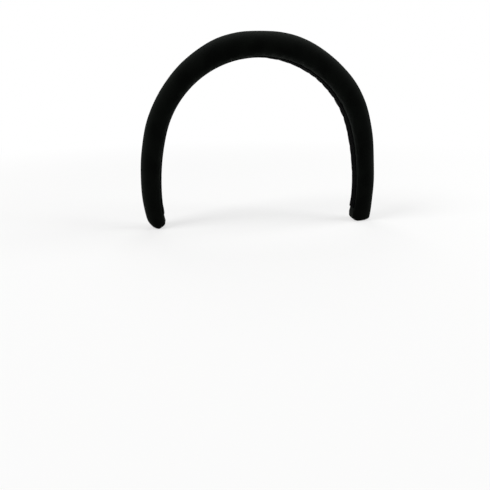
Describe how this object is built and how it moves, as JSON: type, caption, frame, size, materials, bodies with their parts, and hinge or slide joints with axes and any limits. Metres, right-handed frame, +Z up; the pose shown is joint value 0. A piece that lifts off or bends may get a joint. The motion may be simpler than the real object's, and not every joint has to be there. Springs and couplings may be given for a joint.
{
  "type": "padded headband",
  "caption": "Wide padded fabric headband: a tapered, foam-filled velvet arch over a flexible plastic core, worn over the crown from ear to ear.",
  "frame": {"origin": "centre of the head circle that the ribbon's crown lies on, on the mid-plane of the band's width", "axes": "+Z up through the crown, X from ear to ear with +X to the viewer's right in the reference view, +Y from the viewer away, across the band's width"},
  "size_m": [0.163, 0.033, 0.1281],
  "materials": {
    "core_plastic": "moulded, satin",
    "tape": "tissue tape with adhesive on both faces",
    "foam": "open-cell polyurethane foam",
    "velvet": "black velvet, short dense pile with a soft sheen",
    "glue": "dried hot-melt glue",
    "ribbon": "black grosgrain, fine cross ribs"
  },
  "bodies": {
    "root": {"core_band": "core_plastic", "foam_tape": "tape", "foam_pad": "foam", "outer_cover": "velvet", "ribbon_glue": "glue", "lining_ribbon": "ribbon"}
  },
  "joints": []
}
